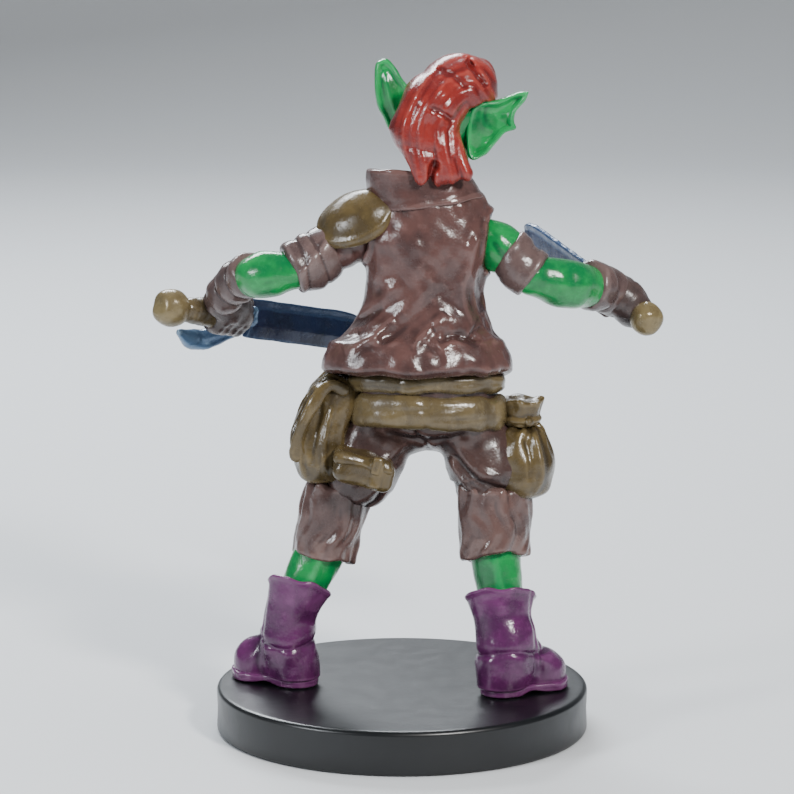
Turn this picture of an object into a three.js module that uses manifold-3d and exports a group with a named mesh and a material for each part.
// Painted goblin rogue miniature on a 25 mm round base. Millimetres, +Z up.
// The figure faces +Y, its right-hand side is +X, and the origin is the middle of the base's underside.
import * as THREE from 'three';
import { LoftGeometry } from 'three/addons/geometries/LoftGeometry.js';
import { mergeVertices } from 'three/addons/utils/BufferGeometryUtils.js';
import Module from 'manifold-3d';

const wasm = await Module();
wasm.setup();
const { Manifold, Mesh } = wasm;

// ---------------------------------------------------------------- driving dimensions
const BASE_RADIUS = 12.5;
const BASE_HEIGHT = 3.0;
const BASE_BEVEL = 0.3;
const BASE_SIDES = 40;

const GAP = 0.1; // clearance that every painted piece keeps from its neighbours
const WELD = 1e-4; // vertices closer than this are one vertex
const TIDY = 0.015; // cut edges shorter than this are merged away

const SOLE_THICKNESS = 0.55;
const FOOT_LENGTH = 6.5;
const FOOT_WIDTH = 3.1;
const DAGGER_LENGTH = 16; // middle of the pommel to the tip of the blade
const BLADE_WIDTH = 2.6;
const BLADE_THICKNESS = 0.9;
const POMMEL_RADIUS = 1.3;
const GRIP_RADIUS = 0.72;
const EYE_RADIUS = 0.62;

const HEAD_TURN = -37; // degrees about Z: the face turns towards the figure's right
const HEAD_TILT = 14; // degrees: the top of the head leans the same way
const WAIST_TILT = -10; // degrees about X: the belts and the vest's hem ride higher at the back

const v = (x, y, z) => new THREE.Vector3(x, y, z);

// the skeleton, in millimetres from the middle of the base's underside
const BONE = {
  neck: v(2.3, 0.7, 36.6),
  head: v(3.0, 1.3, 41.0),
  left: {
    hip: v(-1.3, 0.1, 20.6),
    knee: v(-3.7, 0.3, 16.2),
    hem: v(-5.3, 0.3, 11.9),
    cuff: v(-6.9, 0.2, 9.5),
    ankle: v(-7.6, 0, 6.2),
    heel: v(-6.0, -1.2, 3),
    toe: v(-11.3, 2.8, 3),
    shoulder: v(-2.7, 0.1, 33.9),
    elbow: v(-9.1, -0.9, 30.9),
    wrist: v(-11.9, 3.0, 29.4),
    pommel: v(-15.5, 2.0, 28.4),
    bladeTip: v(-3.1, 11.5, 24.9),
  },
  right: {
    hip: v(4.4, 0.1, 20.6),
    knee: v(5.9, -0.4, 16.2),
    hem: v(6.3, -0.8, 11.9),
    cuff: v(6.65, -1.3, 9.5),
    ankle: v(6.9, -2.2, 6.2),
    heel: v(5.6, -3.7, 3),
    toe: v(11.4, 0.6, 3),
    shoulder: v(5.9, 0, 33.4),
    elbow: v(9.5, -1.1, 30.5),
    wrist: v(13.6, 3.0, 29.5),
    pommel: v(16.4, 2.2, 27.6),
    bladeTip: v(8.8, 15.2, 31.4),
  },
};

// ---------------------------------------------------------------- paint
const paint = (colour, roughness, metalness = 0) => () =>
  new THREE.MeshStandardMaterial({ color: colour, roughness, metalness });
const PAINT = {
  plastic: paint(0x0a0c0f, 0.3),
  skin: paint(0x1f8c45, 0.32),
  hair: paint(0xa8321f, 0.4),
  leather: paint(0x6b3a2e, 0.38),
  collar: paint(0x5a3530, 0.4),
  wrap: paint(0x7a5648, 0.42),
  ochre: paint(0x7a5a26, 0.4),
  belt: paint(0x6b5230, 0.4),
  cloth: paint(0x4a2f2c, 0.45),
  boot: paint(0x4d1f55, 0.3),
  glove: paint(0x4a3428, 0.45),
  grip: paint(0x6a5028, 0.45),
  steel: paint(0x2b4a78, 0.3, 0.3),
  shirt: paint(0x8a7a5c, 0.5),
  eye: paint(0xd8c048, 0.2),
};

// ---------------------------------------------------------------- shapes
// Turns a closed three.js geometry into a manifold solid.
function solid(geometry) {
  const plain = new THREE.BufferGeometry();
  plain.setAttribute('position', geometry.attributes.position);
  plain.setIndex(geometry.index);
  const welded = mergeVertices(plain, WELD);
  const mesh = new Mesh({
    numProp: 3,
    vertProperties: new Float32Array(welded.attributes.position.array),
    triVerts: new Uint32Array(welded.index.array),
  });
  mesh.merge();
  return new Manifold(mesh);
}

const joined = (...solids) => Manifold.union(solids);

// An ellipsoid; turn is a THREE.Euler.
function blob(centre, half, grow = 0, turn = new THREE.Euler(), sides = 10) {
  const sphere = new THREE.SphereGeometry(1, sides, Math.round(sides * 0.6));
  sphere.rotateX(Math.PI / 2);
  const matrix = new THREE.Matrix4().compose(
    centre,
    new THREE.Quaternion().setFromEuler(turn),
    v(half[0] + grow, half[1] + grow, half[2] + grow),
  );
  return solid(sphere.applyMatrix4(matrix));
}

// A limb: elliptical sections [half width, half depth], evenly spaced along a smooth curve.
// The half width lies along `across`, and round ends close it like a fingertip.
function limb(points, radii, grow = 0, options = {}) {
  const { across = v(1, 0, 0), sides = 10, rings = 5, round = 0.6 } = options;
  const curve = points.length > 2 ? new THREE.CatmullRomCurve3(points) : new THREE.LineCurve3(...points);
  const endRings = round > 0 ? [0.45, 0.85] : []; // the sizes of the rings that round an end off
  const stations = [
    ...endRings.map((shrink) => ({ t: 0, shrink })),
    ...Array.from({ length: rings + 1 }, (_, i) => ({ t: i / rings, shrink: 1 })),
    ...endRings.map((shrink) => ({ t: 1, shrink })).reverse(),
  ];
  const sections = stations.map(({ t, shrink }) => {
    const along = curve.getTangentAt(t);
    const depth = new THREE.Vector3().crossVectors(along, across).normalize();
    const width = new THREE.Vector3().crossVectors(depth, along).normalize();
    const at = t * (radii.length - 1);
    const low = Math.min(Math.floor(at), radii.length - 2);
    const [a, b] = [0, 1].map((k) => THREE.MathUtils.lerp(radii[low][k], radii[low + 1][k], at - low));
    const direction = t === 0 ? -1 : Number(t === 1);
    const reach = Math.min(a, b) * round * Math.sqrt(1 - shrink * shrink) + grow;
    const centre = curve.getPointAt(t).addScaledVector(along, direction * reach);
    return Array.from({ length: sides }, (_, j) => {
      const angle = (j / sides) * 2 * Math.PI;
      return centre.clone()
        .addScaledVector(width, Math.cos(angle) * (a + grow) * shrink)
        .addScaledVector(depth, Math.sin(angle) * (b + grow) * shrink);
    });
  });
  return solid(new LoftGeometry(sections, { capStart: true, capEnd: true }));
}

// A stack of level, rounded sections: [x, y, z, half width, half depth, squareness].
function stack(levels, grow = 0, sides = 14) {
  const last = levels.length - 1;
  const power = (value, square) => Math.sign(value) * Math.abs(value) ** (2 / square);
  const sections = levels.map(([x, y, z, a, b, square = 2], i) => {
    const lift = grow * (Number(i === last) - Number(i === 0));
    return Array.from({ length: sides }, (_, j) => {
      const angle = (j / sides) * 2 * Math.PI;
      return v(
        x + power(Math.cos(angle), square) * (a + grow),
        y + power(Math.sin(angle), square) * (b + grow),
        z + lift,
      );
    });
  });
  return solid(new LoftGeometry(sections, { capStart: true, capEnd: true }));
}

// Moves a solid made in a local frame (x along, z up) to a place in the row frame.
function placed(shape, matrix) {
  return shape.transform(matrix.elements);
}

// The frame at `from` whose x axis points at `to`, with z as near as possible to `up`.
function frameAlong(from, to, up) {
  const x = to.clone().sub(from).normalize();
  const y = new THREE.Vector3().crossVectors(up, x).normalize();
  const z = new THREE.Vector3().crossVectors(x, y);
  return new THREE.Matrix4().makeBasis(x, y, z).setPosition(from);
}

const between = (a, b, t) => a.clone().lerp(b, t);

// The frame of a ring round the waist: tilted about X, at this height above the underside.
const waistFrame = (height) => new THREE.Matrix4()
  .makeRotationX(THREE.MathUtils.degToRad(WAIST_TILT))
  .setPosition(v(0, 0, height));

// ---------------------------------------------------------------- assembly
const model = new THREE.Group();
const groups = {};
const taken = []; // the pieces made so far, as shapes that can be drawn with a clearance

// Adds one named piece. It is cut back to clear every earlier piece by GAP.
function piece(groupName, name, material, shape) {
  let made = shape(0);
  const box = made.boundingBox();
  for (const other of taken) {
    const clear = [0, 1, 2].some((k) => box.min[k] > other.box.max[k] || box.max[k] < other.box.min[k]);
    if (!clear) made = made.subtract(other.grown);
  }
  const parts = made.simplify(TIDY).decompose();
  [made] = parts.sort((a, b) => b.volume() - a.volume());
  const grown = shape(GAP);
  taken.push({ grown, box: grown.boundingBox() });

  const bounds = made.boundingBox();
  const middle = [0, 1, 2].map((k) => (bounds.min[k] + bounds.max[k]) / 2);
  const { vertProperties, triVerts } = made.translate(middle.map((c) => -c)).getMesh();
  const geometry = new THREE.BufferGeometry();
  geometry.setAttribute('position', new THREE.BufferAttribute(new Float32Array(vertProperties), 3));
  geometry.setIndex(new THREE.BufferAttribute(new Uint32Array(triVerts), 1));
  geometry.computeVertexNormals();
  const mesh = new THREE.Mesh(geometry, material());
  mesh.name = name;
  mesh.position.set(...middle);
  if (!groups[groupName]) {
    groups[groupName] = new THREE.Group();
    model.add(groups[groupName]);
  }
  groups[groupName].add(mesh);
}

// ---------------------------------------------------------------- base
function baseShape(grow) {
  const r = BASE_RADIUS + grow;
  const top = BASE_HEIGHT + grow;
  const profile = [
    [0, -grow], [r - BASE_BEVEL, -grow], [r, BASE_BEVEL],
    [r, top - BASE_BEVEL], [r - BASE_BEVEL, top], [0, top],
  ].map(([x, z]) => new THREE.Vector2(x, z));
  return solid(new THREE.LatheGeometry(profile, BASE_SIDES).rotateX(Math.PI / 2));
}
piece('base', 'base_disc', PAINT.plastic, baseShape);

// ---------------------------------------------------------------- legs
// The outline of a boot sole: heel at the origin, toe along +x.
function soleOutline(grow) {
  const half = FOOT_WIDTH / 2;
  const outline = new THREE.Shape();
  outline.moveTo(-grow, 0);
  outline.bezierCurveTo(-grow, -half * 0.8 - grow, 1.2, -half * 0.8 - grow, 2.2, -half * 0.7 - grow);
  outline.bezierCurveTo(3.4, -half * 0.7 - grow, 4.2, -half - grow, 5.0, -half - grow);
  outline.bezierCurveTo(FOOT_LENGTH - 0.3, -half - grow, FOOT_LENGTH + grow, -half * 0.5, FOOT_LENGTH + grow, 0);
  outline.bezierCurveTo(FOOT_LENGTH + grow, half * 0.5, FOOT_LENGTH - 0.3, half + grow, 5.0, half + grow);
  outline.bezierCurveTo(4.2, half + grow, 3.4, half * 0.7 + grow, 2.2, half * 0.7 + grow);
  outline.bezierCurveTo(1.2, half * 0.8 + grow, -grow, half * 0.8 + grow, -grow, 0);
  return outline;
}

for (const side of ['left', 'right']) {
  const leg = BONE[side];
  const footFrame = frameAlong(leg.heel, leg.toe, v(0, 0, 1));
  const shinLow = between(leg.cuff, leg.ankle, 0.3);
  const shinHigh = between(leg.hem, leg.knee, 0.2);
  const legs = `${side}_leg`;

  piece(legs, `${side}_boot_sole`, PAINT.boot, (grow) => {
    const slab = solid(new THREE.ExtrudeGeometry(soleOutline(grow), {
      depth: SOLE_THICKNESS + 2 * grow, bevelEnabled: false, curveSegments: 5,
    }));
    return placed(slab.translate([0, 0, GAP - grow]), footFrame);
  });

  piece(legs, `${side}_shin`, PAINT.skin, (grow) =>
    limb([shinLow, leg.cuff, leg.hem, shinHigh], [[1.5, 1.55], [1.65, 1.75]], grow,
      { rings: 4, round: 0 }));

  piece(legs, `${side}_boot`, PAINT.boot, (grow) => {
    const low = SOLE_THICKNESS + 2 * GAP;
    const foot = stack([
      [3.2, 0, low, FOOT_LENGTH / 2 - 0.05, FOOT_WIDTH / 2 - 0.1, 2.4],
      [3.2, 0, low + 0.9, FOOT_LENGTH / 2 - 0.05, FOOT_WIDTH / 2 - 0.05, 2.3],
      [2.9, 0, low + 1.8, FOOT_LENGTH / 2 - 0.55, FOOT_WIDTH / 2 - 0.35, 2.1],
      [2.3, 0, low + 2.6, FOOT_LENGTH / 2 - 1.2, FOOT_WIDTH / 2 - 0.6, 2],
    ], grow, 12);
    const shaft = limb([leg.ankle.clone().setZ(4.2), leg.ankle, leg.cuff],
      [[1.9, 2.0], [1.85, 1.95], [1.9, 1.95], [2.1, 2.15]], grow, { rings: 4, round: 0 });
    return joined(placed(foot, footFrame), shaft);
  });

  piece(legs, `${side}_boot_cuff`, PAINT.boot, (grow) =>
    limb([between(leg.cuff, leg.ankle, 0.12), between(leg.cuff, leg.hem, 0.2)],
      [[2.25, 2.3], [2.45, 2.5]], grow, { rings: 1, round: 0.12 }));

  piece(legs, `${side}_trouser_leg`, PAINT.cloth, (grow) =>
    limb([leg.hem, between(leg.hem, leg.knee, 0.5), leg.knee],
      [[2.15, 2.25], [2.2, 2.3], [2.35, 2.45]], grow, { rings: 3, round: 0 }));
}

piece('waist', 'pelvis', PAINT.cloth, (grow) => stack([
  [1.5, 0.1, 19.5, 2.2, 1.8],
  [1.55, 0.1, 20.2, 4.2, 3.1, 2.2],
  [1.6, 0.1, 21.2, 4.75, 3.5, 2.3],
  [1.6, 0.1, 22.8, 4.7, 3.5, 2.3],
  [1.6, 0.1, 24.4, 4.5, 3.4, 2.3],
], grow));

for (const side of ['left', 'right']) {
  const leg = BONE[side];
  piece(`${side}_leg`, `${side}_thigh`, PAINT.cloth, (grow) =>
    limb([leg.hip, between(leg.hip, leg.knee, 0.5), between(leg.knee, leg.hip, 0.08)],
      [[2.2, 2.7], [2.6, 3.1], [2.75, 3.1], [2.55, 2.6]], grow, { rings: 5, round: 0.3, sides: 12 }));
}

// ---------------------------------------------------------------- body
piece('body', 'neck', PAINT.skin, (grow) =>
  limb([BONE.neck.clone().setZ(35.4), BONE.neck, between(BONE.neck, BONE.head, 0.5)],
    [[1.5, 1.5], [1.35, 1.35], [1.35, 1.35]], grow, { rings: 2, round: 0 }));

piece('body', 'shirt', PAINT.shirt, (grow) => stack([
  [1.6, 0.1, 24.5, 4.2, 3.2, 2.3],
  [1.6, 0.2, 27.0, 3.9, 3.0, 2.2],
  [1.6, 0.2, 30.0, 3.5, 2.8, 2.2],
  [1.7, 0.2, 33.0, 3.7, 2.8, 2.3],
  [1.8, 0.2, 35.0, 3.1, 2.2, 2.2],
  [1.9, 0.3, 36.0, 1.9, 1.6, 2],
], grow, 12));

piece('waist', 'upper_belt', PAINT.belt, (grow) => placed(stack([
  [1.65, 0.1, -0.6, 5.0, 3.85, 2.3],
  [1.65, 0.1, -0.3, 5.2, 4.0, 2.3],
  [1.65, 0.1, 0.3, 5.2, 4.0, 2.3],
  [1.65, 0.1, 0.6, 5.0, 3.85, 2.3],
], grow), waistFrame(23.7)));

piece('waist', 'hip_belt', PAINT.belt, (grow) => placed(stack([
  [1.7, 0.1, -1.15, 5.05, 3.75, 2.4],
  [1.7, 0.1, -0.7, 5.25, 4.1, 2.4],
  [1.7, 0.1, 0.6, 5.25, 4.1, 2.4],
  [1.7, 0.1, 1.1, 5.05, 3.9, 2.4],
], grow), waistFrame(21.75)));

piece('waist', 'belt_buckle', PAINT.grip, (grow) => {
  const [halfWidth, halfHeight] = [1.1 + grow, 0.95 + grow];
  const outline = new THREE.Shape();
  outline.moveTo(-halfWidth, -halfHeight);
  outline.lineTo(halfWidth, -halfHeight);
  outline.lineTo(halfWidth, halfHeight);
  outline.lineTo(-halfWidth, halfHeight);
  outline.closePath();
  const plate = new THREE.ExtrudeGeometry(outline, {
    depth: 0.4 + grow, bevelEnabled: true, bevelSize: 0.12, bevelThickness: 0.12, bevelSegments: 1,
  });
  plate.rotateX(-Math.PI / 2).translate(1.7, 4.15, -0.05);
  return placed(solid(plate), waistFrame(21.75));
});

piece('body', 'vest', PAINT.leather, (grow) => {
  const body = stack([
    [1.0, -0.1, 25.4, 5.6, 4.35, 2.2],
    [1.2, 0, 27.0, 4.9, 3.9, 2.2],
    [1.5, 0.1, 29.2, 4.1, 3.4, 2.2],
    [1.6, 0.1, 31.2, 4.2, 3.3, 2.3],
    [1.7, 0.1, 33.6, 4.35, 3.3, 2.4],
    [1.8, 0.1, 35.3, 3.9, 2.7, 2.3],
    [1.9, 0.2, 36.1, 2.6, 2.0, 2.1],
  ], grow, 16);
  const opening = new THREE.Shape();
  opening.moveTo(1.55 + grow, 27.5);
  opening.lineTo(3.3 - grow, 37);
  opening.lineTo(0.4 + grow, 37);
  opening.closePath();
  const cut = new THREE.ExtrudeGeometry(opening, { depth: 6, bevelEnabled: false });
  cut.rotateX(Math.PI / 2).translate(0, 7.2, 0);
  return body.subtract(solid(cut));
});

piece('body', 'vest_hem', PAINT.leather, (grow) => placed(stack([
  [1.0, -0.2, -0.95, 5.6, 4.2, 2.2],
  [0.95, -0.25, -0.6, 6.0, 4.7, 2.2],
  [0.95, -0.2, 0.3, 6.15, 4.75, 2.2],
  [1.0, -0.1, 0.9, 5.55, 4.4, 2.2],
], grow), waistFrame(25.3)));

piece('body', 'collar', PAINT.collar, (grow) => {
  const turn = new THREE.Euler(0.12, 0.14, 0);
  const low = blob(v(1.9, -0.1, 35.9), [3.8, 2.8, 1.0], grow, turn, 14);
  const high = blob(v(1.3, -0.2, 37.1), [3.6, 2.6, 0.95], grow, turn, 14);
  return joined(low, high);
});

piece('body', 'shoulder_pad', PAINT.ochre, (grow) => {
  const turn = new THREE.Euler(0.75, -0.42, 0.12);
  return blob(v(-3.0, -1.0, 34.9), [2.8, 2.2, 1.05], grow, turn, 14);
});

// ---------------------------------------------------------------- arms
const leftArm = new THREE.CatmullRomCurve3([
  BONE.left.shoulder, v(-6.0, -0.5, 32.0), BONE.left.elbow,
  v(-10.9, 1.1, 30.4), BONE.left.wrist, v(-12.8, 4.2, 29.0),
]);
const rightArm = new THREE.CatmullRomCurve3([
  BONE.right.shoulder, v(7.6, -0.6, 31.9), BONE.right.elbow,
  v(11.6, 0.9, 30.2), BONE.right.wrist, v(15.2, 4.3, 28.9),
]);

// A stretch of an arm from one fraction of its length to another.
function armPiece(arm, from, to, radii, grow, options = {}) {
  const points = [0, 0.25, 0.5, 0.75, 1].map((k) => arm.getPointAt(from + (to - from) * k));
  return limb(points, radii, grow, { across: v(0, 0, 1), rings: 4, round: 0.15, ...options });
}

piece('left_arm', 'left_arm_wrap', PAINT.wrap, (grow) =>
  armPiece(leftArm, 0.18, 0.4, [[1.7, 1.7], [2.05, 2.0], [1.95, 1.9], [2.05, 2.0], [1.7, 1.7]], grow));
piece('left_arm', 'left_wrist_wrap', PAINT.wrap, (grow) =>
  armPiece(leftArm, 0.65, 0.9, [[1.25, 1.25], [1.4, 1.4], [1.3, 1.3], [1.4, 1.4], [1.2, 1.2]], grow));
piece('left_arm', 'left_forearm', PAINT.skin, (grow) =>
  armPiece(leftArm, 0.38, 0.68, [[1.2, 1.2], [1.4, 1.4], [1.4, 1.4], [1.15, 1.15]], grow, { round: 0 }));
piece('left_arm', 'left_sleeve', PAINT.leather, (grow) =>
  armPiece(leftArm, 0.03, 0.2, [[1.9, 1.9], [1.75, 1.75], [1.5, 1.5]], grow, { round: 0.2 }));

piece('right_arm', 'right_arm_band', PAINT.wrap, (grow) =>
  armPiece(rightArm, 0.13, 0.34, [[1.5, 1.5], [1.8, 1.8], [1.75, 1.75], [1.5, 1.5]], grow));
piece('right_arm', 'right_wrist_wrap', PAINT.wrap, (grow) =>
  armPiece(rightArm, 0.74, 0.91, [[1.35, 1.35], [1.6, 1.55], [1.45, 1.4], [1.6, 1.55], [1.3, 1.3]], grow));
piece('right_arm', 'right_forearm', PAINT.skin, (grow) =>
  armPiece(rightArm, 0.32, 0.76, [[1.3, 1.3], [1.5, 1.45], [1.5, 1.4], [1.25, 1.2]], grow, { round: 0 }));
piece('right_arm', 'right_upper_arm', PAINT.skin, (grow) =>
  armPiece(rightArm, 0.02, 0.15, [[1.75, 1.6], [1.75, 1.65], [1.4, 1.4]], grow, { round: 0.5 }));

// ---------------------------------------------------------------- daggers and hands
// Both daggers are one pattern, in a frame with x from the pommel to the tip and z across the blade.
const GRIP_START = POMMEL_RADIUS * 0.8;
const GRIP_END = 5.5;
const BOW_REACH = 2.6;
const FIRST_FINGER = 2.7; // from the pommel's middle to the little finger

function pommelShape(grow) {
  return blob(v(0, 0, 0), [POMMEL_RADIUS * 0.9, POMMEL_RADIUS, POMMEL_RADIUS], grow);
}

function gripShape(grow) {
  return limb([v(GRIP_START, 0, 0), v(GRIP_END, 0, 0)],
    [[GRIP_RADIUS, GRIP_RADIUS], [GRIP_RADIUS * 1.15, GRIP_RADIUS * 1.15], [GRIP_RADIUS, GRIP_RADIUS]],
    grow, { across: v(0, 0, 1), rings: 2, round: 0 });
}

// A short cross-piece whose lower horn sweeps back under the fingers as a crescent.
function guardShape(grow) {
  const points = [
    v(GRIP_END + 0.55, 0, 1.1), v(GRIP_END + 0.6, 0, 0), v(GRIP_END + 0.35, 0, -1.5),
    v(GRIP_END - 1.8, 0, -BOW_REACH), v(GRIP_END - 4.2, 0, -BOW_REACH + 0.5),
  ];
  return limb(points, [[0.5, 0.4], [0.6, 0.6], [0.62, 0.6], [0.7, 0.6], [0.16, 0.16]], grow,
    { across: v(0, 1, 0), rings: 9, round: 0.3, sides: 8 });
}

function bladeShape(grow) {
  const start = GRIP_END + 1.15;
  const stations = [
    [start, 0.95], [start + 5, 1], [DAGGER_LENGTH - 2.4, 0.95], [DAGGER_LENGTH - 1.1, 0.75],
    [DAGGER_LENGTH - 0.3, 0.4], [DAGGER_LENGTH, 0.1],
  ];
  const sections = stations.map(([x, width], i) => {
    const half = (BLADE_WIDTH / 2) * width + grow;
    const thick = (BLADE_THICKNESS / 2) * Math.sqrt(width) + grow;
    const shift = i === 0 ? -grow : i === stations.length - 1 ? grow : 0;
    return [[0, -half], [thick, 0], [0, half], [-thick, 0]].map(([y, z]) => v(x + shift, y, z));
  });
  return solid(new LoftGeometry(sections, { capStart: true, capEnd: true }));
}

const DAGGER_ROLL = { left: v(0, 0.1, 1), right: v(-0.15, -0.25, 0.95) };

for (const side of ['left', 'right']) {
  const { pommel, bladeTip, wrist } = BONE[side];
  const frame = frameAlong(pommel, bladeTip, DAGGER_ROLL[side]);
  const arm = `${side}_arm`;
  const gripMiddle = v((GRIP_START + GRIP_END) / 2, 0, 0).applyMatrix4(frame);
  const fist = frameAlong(pommel, bladeTip, wrist.clone().sub(gripMiddle)); // z points at the wrist
  piece(arm, `${side}_dagger_pommel`, PAINT.ochre, (grow) => placed(pommelShape(grow), frame));
  piece(arm, `${side}_dagger_grip`, PAINT.grip, (grow) => placed(gripShape(grow), frame));
  piece(arm, `${side}_dagger_guard`, PAINT.steel, (grow) => placed(guardShape(grow), fist));
  piece(arm, `${side}_dagger_blade`, PAINT.steel, (grow) => placed(bladeShape(grow), frame));
  piece(arm, `${side}_hand`, PAINT.glove, (grow) => {
    const fingers = [0, 1, 2, 3].map((k) => {
      const knuckleRing = GRIP_RADIUS + 0.4;
      const points = [-150, -90, -30].map((degrees) => {
        const angle = THREE.MathUtils.degToRad(degrees);
        return v(FIRST_FINGER + 0.68 * k, Math.cos(angle) * knuckleRing, Math.sin(angle) * knuckleRing);
      });
      return limb(points, [[0.36, 0.4], [0.36, 0.4]], grow, { rings: 2, round: 0.5, sides: 6 });
    });
    const knuckles = v(FIRST_FINGER + 1.02, 0, 0.85);
    const wristHere = wrist.clone().applyMatrix4(fist.clone().invert());
    const palm = limb([wristHere, between(wristHere, knuckles, 0.6), knuckles],
      [[0.95, 0.95], [1.1, 1.1], [1.4, 1.1]], grow, { rings: 3, round: 0.5, sides: 8 });
    return placed(joined(palm, ...fingers), fist);
  });
}

// ---------------------------------------------------------------- pouches
piece('waist', 'left_satchel', PAINT.ochre, (grow) => stack([
  [-5.4, 0.2, 16.9, 1.3, 1.9, 2.5],
  [-5.6, 0.1, 17.6, 1.8, 2.5, 2.6],
  [-5.6, 0, 19.4, 1.8, 2.6, 2.7],
  [-5.1, 0, 21.6, 1.4, 2.3, 2.6],
  [-4.7, 0, 23.4, 0.95, 1.9, 2.4],
], grow));
piece('waist', 'left_satchel_flap', PAINT.ochre, (grow) => {
  const points = [v(-4.1, -0.2, 24.0), v(-5.3, -0.2, 23.8), v(-6.5, -0.2, 22.3), v(-7.3, -0.2, 20.2)];
  return limb(points, [[2.0, 0.35], [2.4, 0.4], [2.6, 0.4], [2.2, 0.35]], grow,
    { across: v(0, 1, 0), rings: 5, round: 0.3 });
});
const thighPouchFrame = new THREE.Matrix4()
  .makeRotationFromEuler(new THREE.Euler(0, 0.18, 0))
  .setPosition(v(-2.55, -3.35, 18.6));
piece('waist', 'thigh_pouch', PAINT.ochre, (grow) => {
  return placed(stack([
    [0, 0, -1.2, 1.6, 0.8, 3],
    [0, 0, -0.8, 1.95, 1.1, 3.2],
    [0, 0, 0.5, 1.95, 1.1, 3.2],
  ], grow, 12), thighPouchFrame);
});
piece('waist', 'thigh_pouch_lid', PAINT.ochre, (grow) => {
  return placed(stack([
    [0, 0, 0.6, 2.1, 1.2, 3.2],
    [0, 0, 1.0, 2.05, 1.2, 3.2],
    [0, 0, 1.3, 1.6, 0.9, 3],
  ], grow, 12), thighPouchFrame);
});
piece('waist', 'right_pouch', PAINT.ochre, (grow) => stack([
  [8.3, -0.4, 16.0, 0.9, 1.1, 2],
  [8.3, -0.4, 16.6, 1.5, 1.8, 2.1],
  [8.3, -0.4, 18.2, 1.75, 2.1, 2.2],
  [8.2, -0.3, 19.8, 1.5, 1.8, 2.1],
  [8.1, -0.2, 20.8, 1.1, 1.3, 2],
], grow, 12));
piece('waist', 'right_pouch_neck', PAINT.ochre, (grow) => stack([
  [8.1, -0.2, 20.95, 1.15, 1.35, 2],
  [8.15, -0.2, 21.6, 1.0, 1.2, 2],
  [8.2, -0.2, 22.4, 1.35, 1.5, 2],
  [8.2, -0.2, 22.8, 1.5, 1.6, 2],
], grow, 12));

// ---------------------------------------------------------------- head
const headFrame = new THREE.Matrix4()
  .makeRotationFromEuler(new THREE.Euler(0, THREE.MathUtils.degToRad(HEAD_TILT), 0))
  .multiply(new THREE.Matrix4().makeRotationZ(THREE.MathUtils.degToRad(HEAD_TURN)))
  .setPosition(BONE.head);

// Face pieces are laid out in the head's own frame: +y out of the face, +z up.
piece('head', 'nose', PAINT.skin, (grow) => placed(
  limb([v(0, 2.2, 0.45), v(0, 3.3, -0.15), v(0, 4.0, -0.65)], [[0.4, 0.4], [0.55, 0.55], [0.6, 0.5]], grow,
    { rings: 2, round: 0.9, sides: 8 }), headFrame));
for (const side of [-1, 1]) {
  const name = side < 0 ? 'left_eye' : 'right_eye';
  piece('head', name, PAINT.eye, (grow) =>
    placed(blob(v(side * 1.15, 2.2, 0.55), [EYE_RADIUS, EYE_RADIUS, EYE_RADIUS * 0.85], grow), headFrame));
}
piece('head', 'head', PAINT.skin, (grow) => {
  const skull = blob(v(0, -0.2, 0.6), [2.65, 2.95, 2.5], grow, new THREE.Euler(), 14);
  const jaw = blob(v(0, 0.9, -1.3), [1.9, 1.9, 1.55], grow, new THREE.Euler(0.25, 0, 0), 12);
  const brow = blob(v(0, 2.2, 1.25), [1.9, 0.6, 0.42], grow, new THREE.Euler(), 8);
  return placed(joined(skull, jaw, brow), headFrame);
});
piece('head', 'left_ear', PAINT.skin, (grow) =>
  limb([v(0.6, 2.3, 40.9), v(-0.6, 2.6, 42.2), v(-1.0, 2.7, 43.6), v(-1.3, 2.5, 44.9)],
    [[0.9, 0.45], [1.2, 0.5], [0.95, 0.4], [0.15, 0.12]], grow, { rings: 5, round: 0.3, sides: 8 }));
piece('head', 'right_ear', PAINT.skin, (grow) =>
  limb([v(4.9, -0.3, 40.9), v(6.4, -0.6, 41.9), v(7.4, -0.6, 42.7), v(8.3, -0.6, 43.4)],
    [[1.0, 0.45], [1.3, 0.5], [0.85, 0.4], [0.15, 0.12]], grow,
    { across: v(0, 0, 1), rings: 5, round: 0.3, sides: 8 }));
piece('head', 'hair_crest', PAINT.hair, (grow) =>
  limb([
    v(5.0, 2.9, 43.4), v(3.8, 1.2, 44.25), v(2.5, -0.9, 43.6), v(1.5, -2.2, 41.6), v(1.7, -2.5, 39.6),
    v(2.3, -2.6, 38.4),
  ],
  [[1.3, 0.9], [2.3, 1.3], [2.8, 1.6], [2.5, 1.5], [2.2, 1.3], [2.1, 1.1]], grow,
    { across: v(0.8, -0.6, 0), rings: 8, round: 0.5, sides: 12 }));
piece('head', 'hair_quiff', PAINT.hair, (grow) =>
  limb([v(4.6, 1.6, 44.5), v(5.6, 2.4, 44.2), v(6.0, 3.0, 43.2), v(5.7, 3.4, 42.2)],
    [[0.9, 0.8], [1.2, 1.0], [1.1, 0.9], [0.5, 0.5]], grow, { rings: 4, round: 0.6 }));
piece('head', 'hair_tail_left', PAINT.hair, (grow) =>
  limb([v(1.5, -2.7, 38.2), v(1.3, -3.0, 37.2), v(1.4, -3.2, 36.1)],
    [[0.9, 0.8], [0.75, 0.65], [0.25, 0.25]], grow, { rings: 3, round: 0.4, sides: 8 }));
piece('head', 'hair_tail_right', PAINT.hair, (grow) =>
  limb([v(3.2, -2.6, 38.2), v(3.6, -2.9, 37.1), v(3.9, -3.1, 36.1)],
    [[1.1, 0.8], [1.15, 0.7], [0.5, 0.35]], grow, { rings: 3, round: 0.4, sides: 8 }));

export default model;
